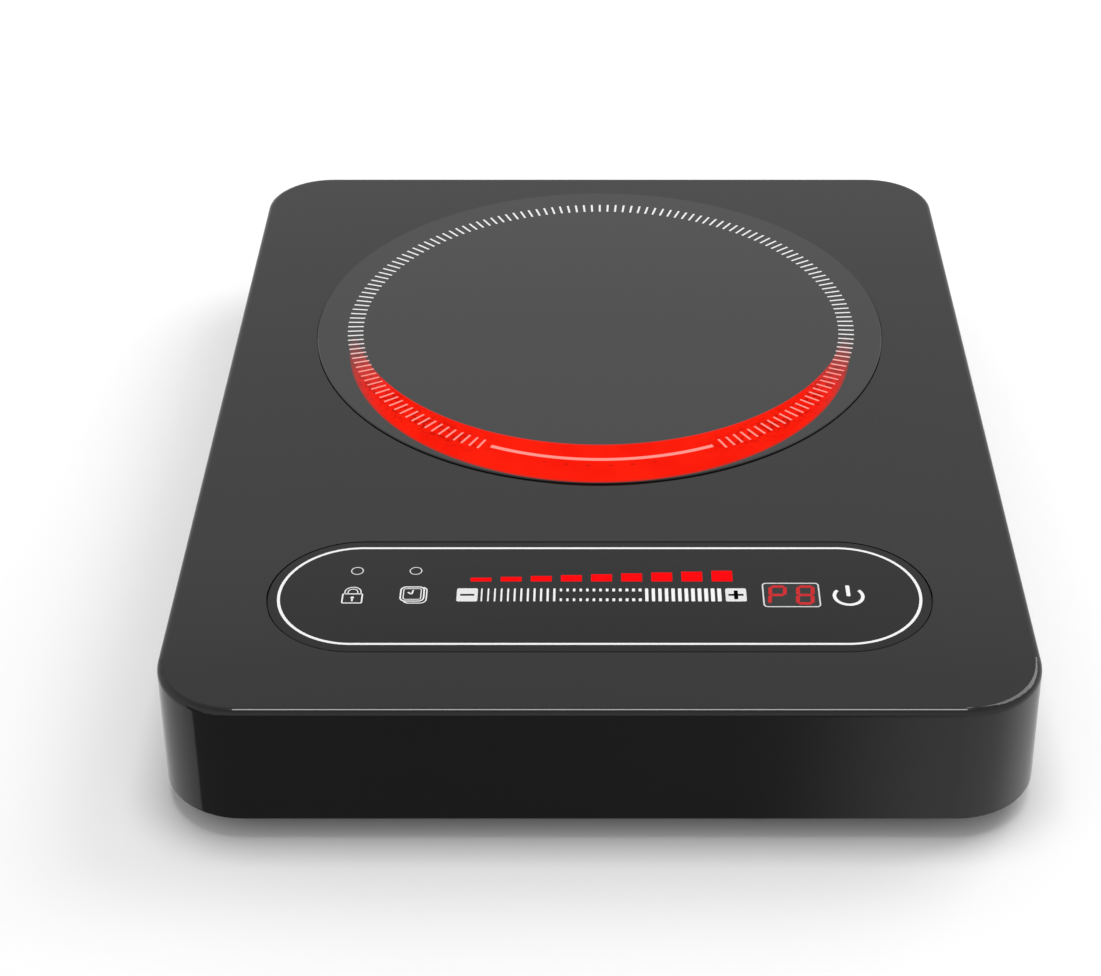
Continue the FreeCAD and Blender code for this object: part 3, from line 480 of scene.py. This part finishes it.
def brightness(angle, full=FULL_LIGHT):
    """Share of full light at an angle from the front: one up to full, then a smooth fall to none."""
    t = np.clip((GLOW_SPAN - np.abs(angle)) / (GLOW_SPAN - full), 0, 1)
    return t * t * (3 - 2 * t)


def circle_reach(radius, shift, turn):
    """Distance from the disc's centre, in direction turn, to a circle whose centre is shift in front."""
    return shift * np.cos(turn) + np.sqrt(radius ** 2 - (shift * np.sin(turn)) ** 2)


def around_disc(turn, radius, centre=DISC):
    """Points round a centre on the disc; turn 0 is the front, positive to the right."""
    return np.stack([centre[0] + radius * np.sin(turn), centre[1] - radius * np.cos(turn)], axis=-1)


def store(obj, name, values):
    """Keeps a value per point of a piece for its material to read."""
    layer = obj.data.attributes.new(name, "FLOAT", "POINT")
    layer.data.foreach_set("value", np.ascontiguousarray(values, dtype=np.float32).ravel())


def rim_glow():
    """Lit crescent between the two shifted circles, by angle from the left and share of the way inwards.

    Each point keeps its brightness, its nearness to the painted edge highlight and its share of the painted
    shade streaks.
    """
    angle = np.linspace(-GLOW_SPAN, GLOW_SPAN, 261)[:, None]
    turn = np.radians(angle)
    share = np.concatenate([[0.0, 0.015, 0.035], np.linspace(0.07, 0.97, 22), [1.0]])
    inner = circle_reach(GLOW_IN, -GLOW_BACK, turn)
    outer = circle_reach(GLOW_OUT, GLOW_FORWARD, turn)
    radius = outer + (inner - outer) * share
    xy = around_disc(turn, radius)
    obj = print_piece("rim_glow", [xy], rim_light(), z=DISC_TOP + GLOW_LIFT, thick=GLOW_THICK,
                      smooth=True)
    outside = np.clip((radius - SCALE_OUT) / OUTER_BLEND, 0, 1)
    glow = brightness(angle) * (1 - outside) + brightness(angle, FULL_OUTER_LIGHT) * outside
    store(obj, "glow", glow * np.clip((1 - share) / 0.05 + 0.5, 0, 1))
    # Nearness to the outer edge, for the painted edge highlight.
    store(obj, "rim", np.clip(1 - share * (outer - inner) / EDGE_HIGHLIGHT_WIDTH, 0, 1))
    # Painted shade in dark streaks under the dashes, growing away from the front.
    under_dashes = np.exp(-((radius - STREAK_RADIUS) / STREAK_SPREAD) ** 2)
    store(obj, "shade_streak", under_dashes * np.clip((np.abs(angle) - STREAK_START) / STREAK_FADE, 0, 1))


def lamp_flecks():
    """Six small dark flecks in the light, in a row in front of the white line, narrower at their ends."""
    turn = np.radians(FLECK_PITCH * (np.arange(-3, 3) + 0.5))[:, None]
    along = np.radians(np.array([-0.5, -0.2, 0.2, 0.5]))
    half = np.array([0.15, 0.45, 0.45, 0.15])
    flats = []
    for centre in turn:
        radius = circle_reach(FLECK_RADIUS, FLECK_FORWARD, centre) + half[:, None] * np.array([-1.0, 1.0])
        flats.append(around_disc((centre + along)[:, None], radius))
    dark = Finish("light_flecks", (0.02, 0.001, 0.001), 0.3, Specular_IOR_Level=0.0, Emission_Strength=1.0)
    dark.tones(600.0, (0.56, 0.008, 0.003), (0.72, 0.010, 0.004), socket="Emission Color")
    print_piece("lamp_flecks", flats, dark.material, z=DISC_TOP + FLECK_LIFT, thick=FLECK_THICK)


def dash_scale():
    """Radial dashes all round the disc but for the gap at the front."""
    angles = np.linspace(SCALE_FIRST, 360 - SCALE_FIRST, SCALE_COUNT) + SCALE_TURN
    turn = np.radians(angles)
    out = np.stack([np.sin(turn), -np.cos(turn)], axis=1)
    side = np.stack([np.cos(turn), np.sin(turn)], axis=1)
    r = np.array([SCALE_IN, (SCALE_IN + SCALE_OUT) / 2, SCALE_OUT])[:, None, None]
    s = np.array([-DASH_WIDTH / 2, DASH_WIDTH / 2])[:, None]
    xy = SCALE_MIDDLE + r * out[:, None, None] + s * side[:, None, None]
    obj = print_piece("disc_scale_print", list(xy), scale_print_with_painted_glow(), z=DISC_TOP + PRINT)
    signed = (angles + 180) % 360 - 180
    store(obj, "lit", np.repeat(brightness(signed, FULL_PRINT_LIGHT), len(r) * len(s)))


def front_arc():
    """White line between the ends of the scale."""
    turn = np.radians(np.linspace(-ARC_SPAN, ARC_SPAN, 61) + SCALE_TURN)
    path = around_disc(turn, ARC_RADIUS, SCALE_MIDDLE)
    obj = print_piece("disc_arc_print", [band(path, ARC_WIDTH)], scale_print_with_painted_glow(),
                      z=DISC_TOP + PRINT)
    store(obj, "lit", np.ones(len(obj.data.vertices)))


rim_glow()
lamp_flecks()
dash_scale()
front_arc()


# ---- control glass ----

def panel_border():
    """White line that follows the control glass's outline."""
    path = round_rect(PANEL[0], PANEL[1] + 0.2, BORDER_LENGTH, BORDER_WIDTH, BORDER_ROUND, 40)
    line = band(path, BORDER_LINE, closed=True)
    print_piece("panel_border_print", [line], WHITE, closed=True)


def indicator_rings():
    """Hairline rings over the lock and timer indicators."""
    rings = [band(arc(x, KEY_ROW + LAMP_RISE, 2.1, 0, 360, 41)[:-1], 0.36, closed=True) for x in LAMP_PLACES]
    print_piece("indicator_rings_print", rings, GREY, closed=True)


def padlock():
    """Padlock: outlined body, doubled shackle and a keyhole."""
    x, y = LOCK_X, KEY_ROW - 1.95
    closed = [band(round_rect(x, y, 6.9, 5.3, 0.3, 3), 0.5, closed=True)]
    shackle = []
    for r, wide in ((2.85, 0.42), (1.72, 0.36)):
        legs = np.array([[x + r, y + 2.6], [x - r, y + 2.6]])
        shackle.append(band(np.concatenate([legs[:1], arc(x, y + 3.7, r, 0, 180, 21), legs[1:]]), wide))
    hole = [round_patch(x, y + 0.5, 1.25, 1.25, 0.6), round_patch(x, y - 0.75, 0.6, 1.7, 0.2)]
    return closed, shackle + hole


def timer():
    """Timer: round-cornered case with an inner line, a second edge to the right and below, and two hands."""
    x, y = TIMER_X, KEY_ROW + 0.65
    closed = [band(round_rect(x, y, 8.25, 8.25, 1.9, 7), 0.55, closed=True),
              band(round_rect(x, y, 6.2, 6.2, 0.7, 4), 0.36, closed=True)]
    r = 2.2
    left, right, low, high = x - 3.2 + r, x + 5.1 - r, y - 5.3 + r, y + 4.1 - r
    edge = np.concatenate([arc(right, high, r, 65, 0, 6), arc(right, low, r, 0, -90, 8),
                           arc(left, low, r, 270, 215, 6)])
    meet = [x - 0.15, y - 0.1]
    short_hand = band(np.array([[x - 1.65, y + 0.95], meet]), 0.6)
    long_hand = band(np.array([meet, [x + 0.25, y + 2.3]]), 0.55)
    return closed, [short_hand, long_hand, band(edge, 0.46)]


def power_sign():
    """Power sign: a ring open at the top and an upright bar."""
    x, y = POWER_X, KEY_ROW - 0.55
    return [band(arc(x, y, 5.0, 139, 401, 49), 1.25), round_patch(x, y + 3.05, 1.4, 6.3, 0.4)]


def panel_symbols():
    """Lock, timer and power signs."""
    closed = []
    free = power_sign()
    for rings, rest in (padlock(), timer()):
        closed += rings
        free += rest
    print_piece("symbol_outlines_print", closed, WHITE, closed=True)
    print_piece("symbol_marks_print", free, WHITE)


def slider_scale():
    """Strokes that thicken to the right, with pairs of dots in the middle of the run."""
    marks = []
    for i in range(STROKE_COUNT):
        x, wide = STROKE_FIRST + i * STROKE_PITCH, 0.52 + 0.86 * i / (STROKE_COUNT - 1)
        if i in DOTTED:
            marks += [round_patch(x, SLIDER_ROW + side * 2.85, wide, 1.65, 0.25, 4) for side in (-1, 1)]
        else:
            marks.append(round_patch(x, SLIDER_ROW, wide, 7.5, 0.22, 4))
    print_piece("slider_scale_print", marks, WHITE)


def end_keys():
    """White minus and plus keys with their signs knocked out in black."""
    keys = [round_patch(x, SLIDER_ROW, 7.4, 7.6, 0.7, 6) for x in (MINUS_X, PLUS_X)]
    print_piece("end_keys_print", keys, white_print_with_painted_glow("fired_white_key_print_painted_glow", 0.62))
    signs = [round_patch(MINUS_X, SLIDER_ROW, 5.0, 1.0, 0.1, 3),
             round_patch(PLUS_X, SLIDER_ROW, 5.35, 1.1, 0.1, 3),
             round_patch(PLUS_X, SLIDER_ROW, 1.45, 5.1, 0.1, 3)]
    print_piece("end_key_signs", signs, key_black(), z=PANEL_TOP + PRINT + SIGN_LIFT)


def level_bar_windows():
    """Lit windows of the level bars, each a little taller than the last."""
    bars = [round_patch(BAR_FIRST + i * BAR_PITCH, BAR_FOOT + tall / 2, BAR_WIDTH, tall, 0.15, 3)
            for i, tall in enumerate(np.linspace(BAR_LOW, BAR_HIGH, BAR_COUNT))]
    print_piece("level_bar_windows", bars, FINISHES["red_light"])


def stroke_segment(length, thick):
    """Display segment: a bar whose two ends narrow evenly to a blunt point."""
    x = np.array([-length / 2, -length / 2 + thick / 2, length / 2 - thick / 2, length / 2])
    reach = np.minimum(thick / 2, length / 2 - np.abs(x)) + 0.03
    return np.stack([np.repeat(x[:, None], 2, axis=1), reach[:, None] * np.array([-1.0, 1.0])], axis=-1)


# Each segment's middle, in half widths and half heights of the sign, and whether it stands upright.
SEGMENT_PLACES = {"a": (0, 1, False), "b": (1, 0.5, True), "c": (1, -0.5, True), "d": (0, -1, False),
                  "e": (-1, -0.5, True), "f": (-1, 0.5, True), "g": (0, 0, False)}


def digit(letters, cx, cy):
    """Seven-segment sign, leaning to the right by a fixed slope."""
    half_w, half_h, thick, gap, slope = 2.6, 4.9, 1.3, 0.25, 0.07
    out = []
    for letter in letters:
        px, py, upright = SEGMENT_PLACES[letter]
        xy = stroke_segment((half_h if upright else 2 * half_w) - gap, thick)
        if upright:
            xy = np.stack([-xy[..., 1], xy[..., 0]], axis=-1)
        xy = xy + np.array([px * half_w, py * half_h])
        xy[..., 0] += slope * xy[..., 1]
        out.append(xy + np.array([cx, cy]))
    return out


def display():
    """Smoked window with its frame line and two lit signs."""
    x, y = middle("digit_display")[0], KEY_ROW + 0.1
    print_piece("display_window", [round_patch(x, y, 19.7, 13.5, 1.2)], smoky_window(),
                z=PANEL_TOP + WINDOW_LIFT)
    print_piece("display_frame_print", [band(round_rect(x, y, 19.8, 13.65, 1.3, 6), 0.5, closed=True)], GREY,
                closed=True)
    lit = digit("abefg", x - DIGIT_SPACE, y - 0.05) + digit("abcdefg", x + DIGIT_SPACE + 0.05, y - 0.05)
    print_piece("display_digits", lit, red_window("display_red", (0.62, 0.035, 0.04)),
                z=PANEL_TOP + PRINT + DIGIT_LIFT)


panel_border()
indicator_rings()
panel_symbols()
slider_scale()
end_keys()
level_bar_windows()
display()


# ---- sensor spring ----

SPRING_TURNS = 6
SPRING_WIRE = 0.45          # the wire's radius


def close_ends(obj):
    """Flat faces over a tube's two open ends."""
    bm = bmesh.new()
    bm.from_mesh(obj.data)
    bmesh.ops.holes_fill(bm, edges=bm.edges[:])
    bm.to_mesh(obj.data)
    bm.free()


def sensor_spring():
    """Coil spring under the plunger, in place of its plain node; it is built at one length and does not
    shorten as the sensor is pressed.

    The wire's middle climbs evenly as it goes round by t. Its section is a circle, gone round by u, in the
    plane of the coil's radius and of the line square to both the radius and the wire.
    """
    low, high = (np.array(corner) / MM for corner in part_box("sensor_spring"))
    x, y = (low + high)[:2] / 2
    foot, top = low[2] + SPRING_WIRE, high[2] - SPRING_WIRE
    whole = 2 * math.pi * SPRING_TURNS
    radius = (high[0] - low[0]) / 2 - SPRING_WIRE
    rise = (top - foot) / whole
    t, u = np.meshgrid(np.linspace(0, whole, 24 * SPRING_TURNS + 1),
                       np.linspace(0, 2 * math.pi, 12, endpoint=False), indexing="ij")
    out = radius + SPRING_WIRE * np.cos(u)
    across = SPRING_WIRE * np.sin(u) / math.hypot(radius, rise)
    grid = np.stack([x + out * np.cos(t) + across * rise * np.sin(t),
                     y + out * np.sin(t) - across * rise * np.cos(t),
                     foot + rise * t + across * radius], axis=-1)
    points, faces = gather([grid], wrap_columns=True)
    coil = piece("sensor_spring_coil", points, faces, FINISHES["screw_steel"])
    close_ends(coil)
    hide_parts("sensor_spring")
    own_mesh(coil)


sensor_spring()


# ---- studio ----

# Greys of the surround. ABOVE goes by height, from the horizon at 0 to straight up at 1. BELOW, under the
# horizon, goes round from the back at 0 through the left, the front at 0.5 and the right to the back again.
ABOVE = [(0.0, 0.70), (0.50, 0.70), (0.585, 0.75), (0.607, 0.72), (0.63, 0.65), (0.72, 0.55), (1.0, 0.42)]
BELOW = [(0.0, 0.70), (0.25, 0.70), (0.3095, 0.62), (0.3125, 0.14), (0.513, 0.14), (0.532, 0.745),
         (0.62, 0.80), (0.75, 1.0), (0.9, 0.70), (1.0, 0.70)]


def studio_world():
    """Bright surround that is darker high up, and dark below the horizon in front."""
    world = bpy.data.worlds.new("studio")
    bpy.context.scene.world = world
    world.use_nodes = True
    tree = world.node_tree

    def join(source, target):
        tree.links.new(source, target)

    def greys(value, stops):
        return add_ramp(tree, value, [(place, (grey,) * 3) for place, grey in stops], "EASE")

    split = add_node(tree, "ShaderNodeSeparateXYZ")
    join(add_node(tree, "ShaderNodeTexCoord").outputs["Generated"], split.inputs["Vector"])
    minus_y = add_node(tree, "ShaderNodeMath", operation="MULTIPLY")
    minus_y.inputs[1].default_value = -1.0
    join(split.outputs["Y"], minus_y.inputs[0])
    azimuth = add_node(tree, "ShaderNodeMath", operation="ARCTAN2")
    join(split.outputs["X"], azimuth.inputs[0])
    join(minus_y.outputs["Value"], azimuth.inputs[1])
    share = add_node(tree, "ShaderNodeMapRange")
    share.inputs["From Min"].default_value = -math.pi
    share.inputs["From Max"].default_value = math.pi
    join(azimuth.outputs["Value"], share.inputs["Value"])
    under = add_node(tree, "ShaderNodeMath", operation="LESS_THAN")
    under.inputs[1].default_value = 0.0
    join(split.outputs["Z"], under.inputs[0])
    mix = add_node(tree, "ShaderNodeMix", data_type="RGBA")
    join(under.outputs["Value"], mix.inputs["Factor"])
    join(greys(split.outputs["Z"], ABOVE), mix.inputs["A"])
    join(greys(share.outputs["Result"], BELOW), mix.inputs["B"])
    join(mix.outputs["Result"], tree.nodes["Background"].inputs["Color"])


def soft_light(name, place, size, power, target=(0, 0, 0)):
    """Rectangular soft light aimed at a point."""
    lamp = bpy.data.lights.new(name, "AREA")
    lamp.shape = "RECTANGLE"
    lamp.size, lamp.size_y = size
    lamp.energy = power
    obj = bpy.data.objects.new(name, lamp)
    bpy.context.scene.collection.objects.link(obj)
    obj.location = place
    aim = obj.location - Vector(target)
    obj.rotation_euler = aim.to_track_quat("Z", "Y").to_euler()


def table_floor():
    """Plain pale floor."""
    finish = plain("pale_floor", (0.86, 0.86, 0.86), (0.88, 0.88, 0.88), 0.9, 3.0)
    mesh = bpy.data.meshes.new("floor")
    edge = 6.0
    corners = [(-edge, -edge, 0), (edge, -edge, 0), (edge, edge, 0), (-edge, edge, 0)]
    mesh.from_pydata(corners, [], [(0, 1, 2, 3)])
    mesh.materials.append(finish)
    obj = bpy.data.objects.new("floor", mesh)
    bpy.context.scene.collection.objects.link(obj)
    obj.visible_glossy = False


CAMERA_AHEAD, CAMERA_ABOVE = 659.5, 502.0     # of the control glass's middle
CAMERA_TILT = 55.34                           # degrees from straight down
FOCAL_LENGTH, SENSOR_WIDTH = 76.61, 36.0
SIDE_SHIFT = -0.0446


def camera():
    """Camera in front, looking down at the cooktop by about 35 degrees."""
    lens = bpy.data.cameras.new("camera")
    lens.lens = FOCAL_LENGTH
    lens.sensor_width = SENSOR_WIDTH
    lens.shift_x = SIDE_SHIFT
    obj = bpy.data.objects.new("camera", lens)
    bpy.context.scene.collection.objects.link(obj)
    obj.location = (0.0, (PANEL[1] - CAMERA_AHEAD) * MM, (PANEL_TOP + CAMERA_ABOVE) * MM)
    obj.rotation_euler = (math.radians(CAMERA_TILT), 0, 0)
    bpy.context.scene.camera = obj


studio_world()
table_floor()
soft_light("top_light", (0.0, 0.1, 2.1), (1.0, 0.7), 21, target=(0, 0.1, 0))
soft_light("side_light", (1.2, 0.9, 1.6), (1.2, 1.2), 15)
camera()
bpy.context.scene.view_settings.view_transform = "Standard"
